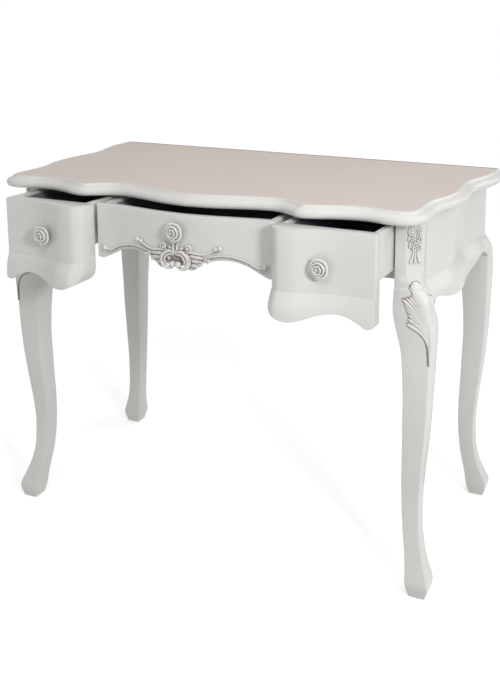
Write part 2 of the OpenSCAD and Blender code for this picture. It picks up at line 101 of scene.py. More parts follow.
# The right side panel's outer face in plan, (y, x), and its lower edge, (y, z).
PANEL_FACE = [
    (48, 458), (90, 459.5), (135, 465.5), (180, 468), (225, 466), (270, 460.5), (305, 458.5),
    (340, 461.5), (380, 467), (431, 470),
]
PANEL_HEM = [
    (48, 588), (60, 597), (85, 594), (130, 582), (190, 573), (250, 573), (310, 583),
    (360, 596), (395, 604), (418, 600), (431, 588),
]
# Both legs up to the knee, about the foot's middle: (height, inner side, outer side).
SHANK = [
    (2, -16, 16), (22, -21, 22), (36, -23, 22), (56, -25, 15), (84, -29.5, 5.5),
    (120, -34.5, -1.5), (160, -37.5, -3.5), (200, -38.5, -3), (250, -37.5, 1.5),
    (300, -35, 7.5), (350, -33, 13), (400, -31, 17), (450, -31.5, 20), (500, -34, 22),
]
# The whole legs: (height, inner x, outer x, inner y, outer y).
FRONT_LEG = [(z, a, b, a, b) for z, a, b in SHANK] + [
    (535, -41, 23, -37, 25), (560, -46, 22, -33, 27), (583, -48, 19, -23, 30),
    (604, -47, 16, -23, 31), (622, -47, 6, -23, 28), (640, -47, -1, -23, 25),
    (755, -47, -1, -23, 25),
]
BACK_LEG = [(z, a, b, a, b) for z, a, b in SHANK] + [
    (535, -39, 23.5, -35, 23), (560, -44, 24, -32, 24), (583, -45, 23, -28, 24),
    (604, -44, 20, -28, 23), (622, -44, 9, -28, 21), (640, -44, 4, -28, 20),
    (755, -44, 4, -28, 20),
]
FRONT_FOOT = (458, 25)
BACK_FOOT = (466, 459)
FOOT_SPLAY = 14
SPLAY_TOP_Z = 600  # the legs lean outwards below this
CHAMFER_Z = [600, 626, 646, 664]  # heights at which the front corner's chamfer is given
CHAMFER = [1.2, 8, 21, 24]
CREASE_Z = 630
SWELL = 20
SWELL_REACH = 42  # height below the crease at which the swelling is full
TOP_THICK = 25
TOP_UNDER_Z = TOP_Z - TOP_THICK
PANEL_THICK = 18
FACE_REAR_Y = 26  # flat rear of the side drawers' faces
CENTRE_THICK = 20
DRAWER_TOP_Z = 746


def spline(points, n):
    """The CAD's Catmull-Rom curve through the points, with n steps between neighbours."""
    p = np.array(points, float)
    out = []
    for i in range(len(p) - 1):
        a, b, c, d = p[max(i - 1, 0)], p[i], p[i + 1], p[min(i + 2, len(p) - 1)]
        for t in np.arange(n) / n:
            out.append(0.5 * (2 * b + (c - a) * t + (2 * a - 5 * b + 4 * c - d) * t * t
                              + (3 * b - a - 3 * c + d) * t ** 3))
    return np.array(out + [p[-1]])


def swelling(z):
    """How far a face stands out at height z: nothing above the crease, full near its hem."""
    below = min(1, max(0, CREASE_Z - z) / SWELL_REACH)
    return SWELL * math.sin(math.pi / 2 * below)


def chamfer_at(z):
    """Width of the front corner's chamfer at height z."""
    return np.interp(z, CHAMFER_Z, CHAMFER)


def lean_at(z):
    """How far the splay carries a leg outwards at height z."""
    return FOOT_SPLAY * np.maximum(0, 1 - z / SPLAY_TOP_Z)


# ---- mesh tools ----

def loft(rings):
    """Vertices and faces of a closed solid through rings of equal length."""
    k = len(rings[0])
    verts = [tuple(v) for ring in rings for v in ring]
    faces = []
    for i in range(len(rings) - 1):
        for j in range(k):
            a, b = i * k + j, i * k + (j + 1) % k
            faces.append((a, b, b + k, a + k))
    faces.append(tuple(reversed(range(k))))
    faces.append(tuple(range(len(verts) - k, len(verts))))
    return verts, faces


def slab(front, back):
    """A closed sheet between two equal grids of points."""
    nu, nv = front.shape[:2]
    verts = [tuple(v) for g in (front, back) for row in g for v in row]
    half = nu * nv
    faces = []
    for i in range(nu - 1):
        for j in range(nv - 1):
            a = i * nv + j
            q = (a, a + nv, a + nv + 1, a + 1)
            faces.append(q)
            faces.append(tuple(half + v for v in reversed(q)))
    rim = [i * nv for i in range(nu)] + [(nu - 1) * nv + j for j in range(1, nv)]
    rim += [i * nv + nv - 1 for i in range(nu - 2, -1, -1)] + list(range(nv - 2, 0, -1))
    for i, a in enumerate(rim):
        b = rim[(i + 1) % len(rim)]
        faces.append((b, a, a + half, b + half))
    return verts, faces


def joined(pieces):
    """Several (verts, faces) pieces as one."""
    verts, faces = [], []
    for v, f in pieces:
        n = len(verts)
        verts += v
        faces += [tuple(n + i for i in q) for q in f]
    return verts, faces


def new_object(name, shape, material):
    """A mesh object from millimetre vertices, with its faces turned outwards."""
    verts, faces = shape
    mesh = bpy.data.meshes.new(name)
    mesh.from_pydata([tuple(c * MM for c in v) for v in verts], [], faces)
    mesh.validate()
    obj = bpy.data.objects.new(name, mesh)
    bpy.context.scene.collection.objects.link(obj)
    mesh.materials.append(material)
    bm = bmesh.new()
    bm.from_mesh(mesh)
    bmesh.ops.recalc_face_normals(bm, faces=bm.faces)
    bm.to_mesh(mesh)
    bm.free()
    return obj


def baked(obj):
    """Puts the result of the object's modifiers in its mesh."""
    graph = bpy.context.evaluated_depsgraph_get()
    mesh = bpy.data.meshes.new_from_object(obj.evaluated_get(graph))
    obj.modifiers.clear()
    obj.data = mesh
    return mesh


def smooth_shaded(mesh):
    """Shades every face of the mesh smooth."""
    mesh.polygons.foreach_set("use_smooth", [True] * len(mesh.polygons))


def softened(obj, width=1.2, sharp=22):
    """Rounds the sharp edges, shades the rest smooth, and leaves glaze along the crease."""
    bevel = obj.modifiers.new("Bevel", "BEVEL")
    bevel.width = width * MM
    bevel.segments = 3
    bevel.limit_method = "ANGLE"
    bevel.angle_limit = math.radians(50)
    bevel.miter_outer = "MITER_ARC"
    mesh = baked(obj)
    smooth_shaded(mesh)
    mesh.set_sharp_from_angle(angle=math.radians(sharp))
    # a faint line of glaze, gone at little more than 1 mm from the crease
    off = np.abs(co_array(mesh)[:, 2] / MM - CREASE_Z)
    store_glaze_and_shade(mesh, np.clip(0.15 - off * 0.13, 0, 1))


def placed(obj, body, node_name):
    """The piece rides on its body and stands for the CAD node named."""
    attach(obj, body)
    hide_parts(node_name)


def co_array(mesh):
    """The vertices' places in metres, one row for each."""
    co = np.zeros(len(mesh.vertices) * 3)
    mesh.vertices.foreach_get("co", co)
    return co.reshape(-1, 3)


def neighbour_mean(edges, values, count):
    """Mean of each vertex's neighbours."""
    out = np.zeros_like(values)
    deg = np.zeros(count)
    np.add.at(out, edges[:, 0], values[edges[:, 1]])
    np.add.at(out, edges[:, 1], values[edges[:, 0]])
    np.add.at(deg, edges.ravel(), 1)
    deg = np.maximum(deg, 1)
    return out / (deg[:, None] if values.ndim > 1 else deg)


def store_glaze_and_shade(mesh, amount):
    """Keeps the share of glaze and of painted shade at each vertex for the lacquer to read."""
    attr = mesh.attributes.new("glaze_and_shade", "FLOAT", "POINT")
    attr.data.foreach_set("value", amount.astype(np.float32))


def glaze_and_shade_hollows(mesh, low, keep=1):
    """Stores the glaze and the painted shade at each vertex: keep times that in its hollows, and
    low as well.
    """
    co = co_array(mesh) / MM
    edges = np.zeros(len(mesh.edges) * 2, int)
    mesh.edges.foreach_get("vertices", edges)
    edges = edges.reshape(-1, 2)
    normals = np.zeros(len(co) * 3)
    mesh.vertices.foreach_get("normal", normals)
    normals = normals.reshape(-1, 3)
    eased = co
    for _ in range(8):
        eased = 0.4 * eased + 0.6 * neighbour_mean(edges, eased, len(co))
    hollow = ((eased - co) * normals).sum(1)
    hollow = 0.5 * hollow + 0.5 * neighbour_mean(edges, hollow, len(co))
    few, most = np.percentile(hollow, [70, 88])
    store_glaze_and_shade(mesh, np.clip(np.clip((hollow - few) / (most - few), 0, 1) * keep + low, 0, 1))


def carved(name, pieces, voxel):
    """Fuses overlapping pieces into one carving, as if cut from one block."""
    obj = new_object(name, joined(pieces), GLAZED_AND_SHADED)
    remesh = obj.modifiers.new("Remesh", "REMESH")
    remesh.mode = "VOXEL"
    remesh.voxel_size = voxel * MM
    ease = obj.modifiers.new("Smooth", "SMOOTH")
    ease.factor = 0.5
    ease.iterations = 1
    smooth_shaded(baked(obj))
    return obj


def tube(path, radii, sides):
    """A round bar along 3-D points, with its own radius at each and rounded ends."""
    p = np.array(path, float)
    r = np.interp(np.linspace(0, 1, len(p)), np.linspace(0, 1, len(radii)), radii)
    t = np.gradient(p, axis=0)
    t /= np.linalg.norm(t, axis=1)[:, None]
    rings = []
    for i, centre in enumerate(p):
        u = np.cross(t[i], (0.05, 1, 0.02))
        u /= np.linalg.norm(u)
        w = np.cross(u, t[i])
        a = np.linspace(0, 2 * math.pi, sides, endpoint=False)
        circle = np.outer(np.cos(a), u) + np.outer(np.sin(a), w)
        if i == 0:
            rings.append(centre - t[i] * r[i] * 0.9 + circle * r[i] * 0.3)
            rings.append(centre - t[i] * r[i] * 0.5 + circle * r[i] * 0.8)
        rings.append(centre + circle * r[i])
        if i == len(p) - 1:
            rings.append(centre + t[i] * r[i] * 0.5 + circle * r[i] * 0.8)
            rings.append(centre + t[i] * r[i] * 0.9 + circle * r[i] * 0.3)
    return loft(rings)


def ball(centre, r):
    """A ball with a small flat at each pole."""
    rings = []
    for a in np.linspace(-math.pi / 2 + 0.12, math.pi / 2 - 0.12, 11):
        b = np.linspace(0, 2 * math.pi, 18, endpoint=False)
        ring = np.stack([np.cos(a) * np.cos(b), np.cos(a) * np.sin(b), np.full(18, math.sin(a))], 1)
        rings.append(np.array(centre) + r * ring)
    return loft(rings)


# ---- materials ----

def node(tree, kind, **settings):
    """A shader node; a setting that starts with in_ is the value of that input."""
    n = tree.nodes.new(kind)
    for key, value in settings.items():
        if key.startswith("in_"):
            n.inputs[key[3:].replace("_", " ")].default_value = value
        else:
            setattr(n, key, value)
    return n


def new_material(name):
    """A material, its node tree, its shader and its object coordinates."""
    mat = bpy.data.materials.new(name)
    mat.use_nodes = True
    tree = mat.node_tree
    where = node(tree, "ShaderNodeTexCoord").outputs["Object"]
    return mat, tree, tree.nodes["Principled BSDF"], where


def noise(tree, where, scale, detail, **more):
    """A noise pattern at the coordinates given."""
    n = node(tree, "ShaderNodeTexNoise", in_Scale=scale, in_Detail=detail, **more)
    tree.links.new(where, n.inputs["Vector"])
    return n.outputs["Fac"]


def stretched(tree, where, scale):
    """Coordinates stretched by a scale for each axis."""
    n = node(tree, "ShaderNodeMapping", in_Scale=scale)
    tree.links.new(where, n.inputs["Vector"])
    return n.outputs[0]


def ranged(tree, value, **ends):
    """A value carried from one range to another."""
    n = node(tree, "ShaderNodeMapRange", **ends)
    tree.links.new(value, n.inputs["Value"])
    return n.outputs[0]


def mixed(tree, factor, a, b):
    """A colour mix of a and b, each a socket or a colour."""
    n = node(tree, "ShaderNodeMix", data_type="RGBA")
    tree.links.new(factor, n.inputs[0])
    for socket, value in ((6, a), (7, b)):
        if hasattr(value, "links"):
            tree.links.new(value, n.inputs[socket])
        else:
            n.inputs[socket].default_value = (*value, 1)
    return n.outputs[2]


def roughened(tree, shader, height, strength, distance):
    """Bumps on a shader, by a height pattern."""
    bump = node(tree, "ShaderNodeBump", in_Strength=strength, in_Distance=distance)
    tree.links.new(height, bump.inputs["Height"])
    tree.links.new(bump.outputs[0], shader.inputs["Normal"])


# brown of the glaze, also used as painted shade
GLAZE_AND_SHADE_BROWN = (0.085, 0.058, 0.032)


def lacquer(name, colour, worn, roughness=0.31, grain=0.06):
    """Satin paint with faint brush marks, patchy tone, and brown glaze left in hollows, which also
    serves as painted shade.
    """
    mat, tree, shader, where = new_material(name)
    patch = noise(tree, where, 5.0, 3.0)
    stroke = noise(tree, stretched(tree, where, (18, 18, 160)), 3.0, 5.0, in_Roughness=0.6)
    fine = noise(tree, where, 420.0, 2.0)
    paint = mixed(tree, ranged(tree, patch, in_From_Min=0.35, in_From_Max=0.7), colour, worn)
    # the brush marks leave the glaze and the painted shade ragged
    held = node(tree, "ShaderNodeAttribute", attribute_name="glaze_and_shade")
    ragged = ranged(tree, stroke, in_From_Min=0.25, in_From_Max=0.75,
                    in_To_Min=0.55, in_To_Max=1.15)
    amount = node(tree, "ShaderNodeMath", operation="MULTIPLY", use_clamp=True)
    tree.links.new(held.outputs["Fac"], amount.inputs[0])
    tree.links.new(ragged, amount.inputs[1])
    tree.links.new(mixed(tree, amount.outputs[0], paint, GLAZE_AND_SHADE_BROWN), shader.inputs["Base Color"])
    rough = ranged(tree, stroke, in_From_Min=0.3, in_From_Max=0.7,
                   in_To_Min=roughness - 0.05, in_To_Max=roughness + 0.09)
    tree.links.new(rough, shader.inputs["Roughness"])
    relief = node(tree, "ShaderNodeMix", data_type="FLOAT", in_Factor=0.35)
    tree.links.new(stroke, relief.inputs[2])
    tree.links.new(fine, relief.inputs[3])
    roughened(tree, shader, relief.outputs[0], grain, 0.0008)
    shader.inputs["Coat Weight"].default_value = 0.2
    shader.inputs["Coat Roughness"].default_value = 0.14
    return mat


def planed_wood():
    """Unpainted wood for the hidden structure, with its grain along y."""
    mat, tree, shader, where = new_material("planed_wood")
    grain = noise(tree, stretched(tree, where, (60, 3, 60)), 2.5, 6.0, in_Distortion=0.4)
    colour = mixed(tree, grain, (0.42, 0.29, 0.17), (0.62, 0.47, 0.31))
    tree.links.new(colour, shader.inputs["Base Color"])
    shader.inputs["Roughness"].default_value = 0.62
    roughened(tree, shader, grain, 0.15, 0.0005)
    return mat


def flock():
    """The drawers' grey flock: short fibres that catch light at a glance."""
    mat, tree, shader, where = new_material("flock")
    fibre = noise(tree, where, 900.0, 2.0)
    nap = noise(tree, where, 14.0, 3.0)
    colour = mixed(tree, nap, (0.15, 0.16, 0.178), (0.22, 0.232, 0.255))
    tree.links.new(colour, shader.inputs["Base Color"])
    shader.inputs["Roughness"].default_value = 0.95
    shader.inputs["Sheen Weight"].default_value = 0.9
    shader.inputs["Sheen Roughness"].default_value = 0.4
    shader.inputs["Sheen Tint"].default_value = (0.55, 0.62, 0.75, 1)
    roughened(tree, shader, fibre, 0.5, 0.0004)
    return mat


def zinc():
    """Zinc plate on the bolts and screws, with a faint spangle."""
    mat, tree, shader, where = new_material("zinc")
    spangle = noise(tree, where, 300.0, 3.0)
    tree.links.new(ranged(tree, spangle, in_To_Min=0.25, in_To_Max=0.45),
                   shader.inputs["Roughness"])
    colour = mixed(tree, spangle, (0.5, 0.5, 0.5), (0.66, 0.66, 0.64))
    tree.links.new(colour, shader.inputs["Base Color"])
    shader.inputs["Metallic"].default_value = 1.0
    return mat


def nylon():
    """Scuffed off-white nylon for the glides."""
    mat, tree, shader, where = new_material("nylon")
    scuff = noise(tree, where, 160.0, 4.0)
    colour = mixed(tree, scuff, (0.55, 0.54, 0.5), (0.7, 0.69, 0.65))
    tree.links.new(colour, shader.inputs["Base Color"])
    shader.inputs["Roughness"].default_value = 0.55
    return mat


WHITE = lacquer("white_lacquer", (0.69, 0.682, 0.655), (0.655, 0.645, 0.615))
TOP_FLAT = lacquer("top_lacquer", (0.70, 0.605, 0.55), (0.68, 0.588, 0.535), roughness=0.42,
                   grain=0.09)
GLAZED_AND_SHADED = lacquer("glazed_and_shaded_carving", (0.73, 0.72, 0.69), (0.69, 0.68, 0.645), grain=0.12)
WOOD = planed_wood()
FLOCK = flock()
ZINC = zinc()
NYLON = nylon()


# ---- the top ----

def edge_profile():
    """The moulded edge from the underside to the flat, as (inset, height above the underside)."""
    nose = [(8.5 - 8.5 * math.cos(a), 9 + 9 * math.sin(a))
            for a in np.radians(np.arange(-90, 71, 10))]
    return [(20, 0)] + nose + [
        (8.6, 18.8), (11.5, 19.6), (13.5, 20.8), (14.6, 22.3), (15.1, 23.6), (16.2, 24.6),
        (17.6, 25.0), (19.2, 24.6), (20.4, 24.3), (22, 24.3),
    ]


def build_top():
    """The serpentine board: one ring of its outline for each point of the edge's profile."""
    edge = spline(TOP_HALF, 8)
    tangent = np.gradient(edge, axis=0)
    tangent /= np.linalg.norm(tangent, axis=1)[:, None]
    normal = np.stack([tangent[:, 1], -tangent[:, 0]], 1)
    normal[0] = (0, -1)
    normal[-1] = (1, 0)
    rings = []
    for inset, z in edge_profile():
        right = edge - inset * normal
        left = right[:0:-1] * (-1, 1)
        ring = np.concatenate([right, left])
        height = np.full((len(ring), 1), TOP_UNDER_Z + z)
        rings.append(np.concatenate([ring + (0, FRAME_Y), height], 1))
    obj = new_object("top_board", loft(rings), WHITE)
    mesh = obj.data
    mesh.materials.append(TOP_FLAT)
    # the flat is the one large face near the top
    flat = [len(p.vertices) > 8 and p.center.z > (TOP_Z - 3) * MM for p in mesh.polygons]
    mesh.polygons.foreach_set("material_index", [int(f) for f in flat])
    smooth_shaded(mesh)
    mesh.set_sharp_from_angle(angle=math.radians(32))
    placed(obj, "carcass", "table_top")


# ---- legs ----

def build_leg(side, end):
    """A cabriole leg from its foot to the top of its post; end is -1 in front, 1 behind."""
    stations = spline(FRONT_LEG if end < 0 else BACK_LEG, 6)
    # more rings where the glaze lies along the crease
    extra = [CREASE_Z + d for d in (1.2, 0.5, 0, -0.5, -1.2)]
    heights = np.sort(np.concatenate([stations[:, 0], extra]))
    stations = np.stack([np.interp(heights, stations[:, 0], stations[:, i]) for i in range(5)], 1)
    foot = FRONT_FOOT if end < 0 else BACK_FOOT
    lean_y = 1 if end < 0 else 0  # the back legs splay only sideways
    rings = []
    for z, x0, x1, y0, y1 in stations:
        c = chamfer_at(z) if end < 0 else CHAMFER[0]
        lean = lean_at(z)
        ring = [(x0, y0), (x1, y0), (x1, y1 - c), (x1 - c, y1), (x0, y1)]
        rings.append([(side * (foot[0] + x + lean),
                       FRAME_Y + foot[1] + end * (y + lean_y * lean), z) for x, y in ring])
    name = "leg_%s_%s" % ("front" if end < 0 else "back", hand(side))
    obj = new_object(name + "_shaped", loft(rings), WHITE)
    softened(obj, width=1.3, sharp=35)
    placed(obj, "carcass", name)


# ---- side panels and drawer faces ----

def face_levels(hem, top):
    """Heights down a face, close together at the crease."""
    near = [CREASE_Z + d for d in (4, 1.2, 0.5, 0, -0.5, -1.2, -4)]
    return [*np.linspace(top, CREASE_Z + 8, 5), *near, *np.linspace(CREASE_Z - 7, hem, 12)]


def build_side_panel(side):
    """A waved panel with its crease, and its swelling apron down to the shaped lower edge."""
    face = spline(PANEL_FACE, 6)
    hem_line = spline(PANEL_HEM, 6)
    rings = []
    for y, x in face:
        hem = float(np.interp(y, hem_line[:, 0], hem_line[:, 1]))
        inner = x - PANEL_THICK
        ring = [(inner, TOP_UNDER_Z)]
        ring += [(x + swelling(z), z) for z in face_levels(hem, TOP_UNDER_Z)]
        # the apron is hollowed behind, so the hem is thicker than the panel
        ring += [(inner + swelling(hem) * 0.6, hem), (inner, CREASE_Z)]
        rings.append([(side * a, FRAME_Y + y, z) for a, z in ring])
    name = "side_panel_" + hand(side)
    obj = new_object(name + "_shaped", loft(rings), WHITE)
    softened(obj)
    placed(obj, "carcass", name)


def build_side_face(side):
    """A side drawer's face; its swelling dies to half towards its outer end."""
    name = "drawer_" + hand(side)
    shift = FRAME_Y - open_by(hand(side))
    face = spline(SIDE_FACE, 7)
    hem_line = spline(SIDE_HEM, 7)
    rings = []
    for x, y in face:
        hem = float(np.interp(x, hem_line[:, 0], hem_line[:, 1]))
        share = float(np.interp(x, [285, SIDE_FACE[-1][0]], [1, 0.5]))
        ring = [(FACE_REAR_Y, DRAWER_TOP_Z)]
        ring += [(y - swelling(z) * share, z) for z in face_levels(hem, DRAWER_TOP_Z)]
        ring += [(FACE_REAR_Y, hem)]
        rings.append([(side * x, shift + b, z) for b, z in ring])
    obj = new_object(name + "_face", loft(rings), WHITE)
    softened(obj, width=1.5)
    placed(obj, name, name + "_front")


CENTRE_CURVE = spline(CENTRE_FACE, 12)
CENTRE_SHIFT = FRAME_Y - open_by("centre")


def centre_y(x):
    """Front of the centre drawer's bent face at x, in the shared frame."""
    return CENTRE_SHIFT + np.interp(abs(x), CENTRE_CURVE[:, 0], CENTRE_CURVE[:, 1])


def build_centre_face():
    """The centre drawer's bowed face, of one thickness, with its scalloped lower edge."""
    hem_line = spline(CENTRE_HEM, 12)
    rings = []
    xs = np.concatenate([-CENTRE_CURVE[:0:-1, 0], CENTRE_CURVE[:, 0]])
    for x in xs:
        hem = float(np.interp(abs(x), hem_line[:, 0], hem_line[:, 1]))
        front = float(centre_y(x))
        rear = front + CENTRE_THICK
        ring = [(rear, DRAWER_TOP_Z)]
        ring += [(front, z) for z in np.linspace(DRAWER_TOP_Z, hem, 8)] + [(rear, hem)]
        rings.append([(x, y, z) for y, z in ring])
    obj = new_object("drawer_centre_face", loft(rings), WHITE)
    softened(obj, width=1.5)
    placed(obj, "drawer_centre", "drawer_centre_front")


# ---- plain boards ----

def build_board(name, body, material):
    """A board with its arrises taken off, in the place of its CAD node."""
    low, high = (np.array(v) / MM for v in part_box(name))
    rings = []
    for x in (low[0], high[0]):
        rings.append([(x, low[1], low[2]), (x, high[1], low[2]), (x, high[1], high[2]),
                      (x, low[1], high[2])])
    obj = new_object(name + "_board", loft(rings), material)
    softened(obj, width=1.0)
    placed(obj, body, name)


# ---- rose knobs ----

# Rings of petals, outermost first: (count, first angle, half width as an angle, inner radius,
# outer radius, height of the foot, height of the rim, thickness, twist).
PETALS = [
    (5, 0.45, 0.76, 9, 20.2, 8, 13.5, 1.6, 0.9),
    (4, 1.1, 0.92, 6.5, 14.2, 11, 19.5, 1.5, 1.3),
    (3, 0.2, 1.15, 4, 8.8, 14, 23.5, 1.4, 1.2),
]
# Half section of the stem and cup: (radius, height).
CUP = [(0.5, 0), (8, 0), (8.5, 1.5), (7, 4), (8, 6.5), (13, 8), (15.5, 9.5), (13, 13), (8, 17),
       (0.5, 19)]


def petal(angle, width, r0, r1, h0, h1, thick, twist):
    """One petal of a rose whose axis is -y: a thin cupped sheet with its rim rolled out."""
    u = np.linspace(-1, 1, 19)[:, None]
    v = np.linspace(0, 1, 13)[None, :]
    a = angle + width * u + 0 * v
    roll = np.clip((v - 0.7) / 0.3, 0, 1)
    radius = r0 + (r1 - r0) * v ** 1.1 * (1 - 0.07 * u ** 4) + twist * u * (0.4 + 0.6 * v)
    height = h0 + (h1 - h0) * np.sin(v * math.pi / 2) * (1 - 0.22 * u ** 6) - 2.0 * roll ** 2

    def at(lift):
        return np.stack([radius * np.cos(a), -(height + lift), radius * np.sin(a)], 2)
    return slab(at(thick / 2), at(-thick / 2 - 1.0))


def rose():
    """Stem, cup and overlapping petals, centred on the origin with the back at y = 0."""
    a = np.linspace(0, 2 * math.pi, 36, endpoint=False)
    rings = [np.stack([r * np.cos(a), np.full(36, -h), r * np.sin(a)], 1) for r, h in CUP]
    pieces = [loft(rings)]
    for count, first, *shape in PETALS:
        pieces += [petal(first + k * 2 * math.pi / count, *shape) for k in range(count)]
    # the heart is one ribbon that winds in
    t = np.linspace(0, 1, 26)
    turn = 1.4 + t * 2.6 * math.pi
    r = 4.2 - 3.2 * t
    heart = np.stack([r * np.cos(turn), -(20.5 + 2.6 * t), r * np.sin(turn)], 1)
    pieces.append(tube(heart, [0.9, 1.0, 0.9], 8))
    return pieces


def build_knob(drawer):
    """A rose in the place of the drawer's CAD knob, with glaze and painted shade down between its
    petals.
    """
    cad = "drawer_%s_knob" % drawer
    low, high = (np.array(v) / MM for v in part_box(cad))
    centre = np.array([(low[0] + high[0]) / 2, high[1], (low[2] + high[2]) / 2])
    pieces = []
    for verts, faces in rose():
        pieces.append(([tuple(np.array(v) + centre) for v in verts], faces))
    obj = carved("rose_" + drawer, pieces, 0.55)
    # painted shade with glaze, low under the petals' rim: the stem and the back of the cup are
    # darkened
    lift = high[1] - co_array(obj.data)[:, 1] / MM
    glaze_and_shade_hollows(obj.data, np.clip((12.4 - lift) / 2.4, 0, 1) * 0.9)
    placed(obj, "drawer_" + drawer, cad)


# ---- the rocaille on the centre drawer ----

def on_face(points):
    """Points (x, z, height above the face) as 3-D points on the centre drawer."""
    p = np.array(points, float)
    return np.stack([p[:, 0], centre_y(p[:, 0]) - p[:, 2], p[:, 1]], 1)


def bar(points, radii, side):
    """A bar on the face along (x, z, height) points, mirrored where side is -1."""
    return tube(on_face(np.array(points) * (side, 1, 1)), radii, 10)


def vine(points, radii, side):
    """A bar on the face that curves smoothly through a few points."""
    return bar(spline(points, 6), radii, side)


def bud(x, z, height, r, side):
    """A ball on the face."""
    return ball(on_face([(side * x, z, height)])[0], r)


def blade(root, middle, tip, width, side):
    """A small pointed leaf on the face: hollow along its middle and thin at its tip."""
    line = spline([root, middle, tip], 8)
    line[:, 0] *= side
    t = np.linspace(0, 1, len(line))
    half = width * np.sin(math.pi * (0.12 + 0.86 * t)) ** 0.8 + 0.3
    along = np.gradient(line[:, :2], axis=0)
    along /= np.linalg.norm(along, axis=1)[:, None]
    across = np.stack([-along[:, 1], along[:, 0]], 1)
    u = np.linspace(-1, 1, 9)
    front = np.zeros((len(line), 9, 3))
    back = np.zeros_like(front)
    for j, s in enumerate(u):
        p = line[:, :2] + across * (half * s)[:, None]
        crown = line[:, 2] * (1 - 0.55 * s ** 2) - 1.1 * math.exp(-(s / 0.22) ** 2)
        front[:, j] = on_face(np.concatenate([p, crown[:, None]], 1))
        back[:, j] = on_face(np.concatenate([p, np.full((len(p), 1), -0.4)], 1))
    return slab(front, back)


def volute(cx, cz, r0, r1, start, turns, radii, height, side):
    """A bar that winds in to its own end."""
    t = np.linspace(0, 1, 30)
    a = start + turns * 2 * math.pi * t
    r = r0 + (r1 - r0) * t
    pts = np.stack([side * (cx + r * np.cos(a)), cz + r * np.sin(a), height + 1.5 * t], 1)
    return tube(on_face(pts), radii, 10)


def scrolls(side):
    """Half of the pair of C-scrolls round the opening, with their hanging leaf and ball."""
    return [
        vine([(0.5, 672, 4), (13, 674, 5.5), (24, 668, 6.5), (29.5, 657, 7), (26, 645, 6.5),
              (17, 640.5, 5.5), (8, 641.5, 4.5)], [3.0, 4.0, 4.6, 4.6, 4.0, 3.0], side),
        vine([(3, 668, 7), (12, 668.5, 8.5), (19.5, 664, 9.5), (22.5, 656, 9.5),
              (20.5, 648.5, 8)], [1.4, 2.0, 2.1, 2.0, 1.4], side),
        vine([(27, 671, 6.5), (33, 662, 8), (33, 651, 8), (27, 642, 6)],
             [1.2, 1.8, 1.8, 1.2], side),
        blade((20, 664, 5), (16.5, 659, 6), (12.5, 655, 3), 3.0, side),
        bud(6.2, 648.5, 5.5, 6.6, side),
    ]


def tendrils(side):
    """The volute above, the tendril that runs out from it to its buds, and small leaves."""
    return [
        volute(27, 682, 8.0, 2.2, -2.2, 1.35, [2.6, 2.3, 1.6], 4.0, side),
        bud(27, 682, 5.5, 3.4, side),
        vine([(22, 675, 4), (36, 674.5, 4.5), (50, 672.5, 4), (64, 674, 3.5), (76, 679, 3.5),
              (83, 683, 3)], [2.8, 2.4, 2.0, 1.8, 2.2], side),
        bud(84, 684.5, 3, 4.3, side),
        bud(93, 686.5, 2.6, 4.9, side),
        blade((74, 678, 4), (80, 677.5, 4), (88, 679.5, 2), 2.6, side),
        vine([(1.5, 671, 4), (4.5, 679, 5), (4, 686, 5), (7.5, 691, 4)],
             [3.2, 2.6, 2.2, 2.6], side),
        blade((3, 674, 5), (12, 679, 6), (19, 684, 3), 3.4, side),
    ]


def wing(side):
    """The leafy wing over the hem, with two small volutes and a bud at its end."""
    return [
        blade((30, 667, 6), (44, 666, 7), (60, 664, 3), 3.8, side),
        blade((29, 660, 6), (44, 658, 7.5), (60, 658.5, 3), 4.4, side),
        blade((27, 653, 6), (39, 649, 7), (53, 651, 3), 4.6, side),
        blade((24, 646, 5), (34, 642.5, 6), (44, 645, 3), 4.2, side),
        volute(53, 655, 4.6, 1.6, -1.2, 1.1, [1.8, 1.6, 1.4], 4.0, side),
        volute(64, 660, 4.6, 1.6, -1.2, 1.1, [1.8, 1.6, 1.4], 3.5, side),
        bud(71, 661, 3, 3.8, side),
    ]


def hem_lines(side):
    """The pair of lines along the hem, the band between them, and the bud at their end."""
    hem = spline(CENTRE_HEM, 8)

    def above_hem(rise, height, x0, x1):
        return [(x, z + rise, height) for x, z in hem if x0 <= x <= x1]

    upper = above_hem(9.5, 1.6, 44, 168) + [(174, 653.5, 2.0), (179, 656.5, 2.4)]
    lower = above_hem(4.6, 1.0, 60, 172) + [
        (180, 645.5, 1.2), (187.5, 650, 1.8), (189, 657, 2.0), (185, 661.5, 1.8)]
    return [
        bar(upper, [1.9, 1.9], side),
        bar(lower, [1.5, 1.5], side),
        bar(above_hem(7, 0.5, 52, 170), [2.2, 2.2], side),
        bud(181, 656.5, 2.6, 5.2, side),
    ]


def build_rocaille():
    """The ornament along the centre drawer's hem, glazed most at its middle, with painted shade in
    its opening.
    """
    pieces = []
    for side in (-1, 1):
        pieces += scrolls(side) + tendrils(side) + wing(side) + hem_lines(side)
    # painted shade: a dark ground fills the opening, where the board behind lies in shade
    ground, faces = ball((0, 0, 0), 1)
    pieces.append(([tuple(on_face([(21 * x, 656 + 14 * z, 0.7 * y)])[0]) for x, y, z in ground],
                   faces))
    obj = carved("rocaille", pieces, 0.75)
    co = co_array(obj.data) / MM
    above = centre_y(co[:, 0]) - co[:, 1]
    centre = np.exp(-(co[:, 0] / 75) ** 2)
    low = np.clip((2.6 - above) / 1.6, 0, 1) * (0.6 + 0.4 * centre)
    low += np.clip((5.0 - above) / 4, 0, 1) * 0.3 * centre
    inside = (co[:, 0] / 20) ** 2 + ((co[:, 2] - 656) / 13) ** 2 < 1
    # the ground in the opening is darkened: painted shade
    low[inside & (above < 1.5)] = 0.42
    glaze_and_shade_hollows(obj.data, low)
    placed(obj, "drawer_centre", "centre_ornament")


# ---- flower drops on the front posts ----

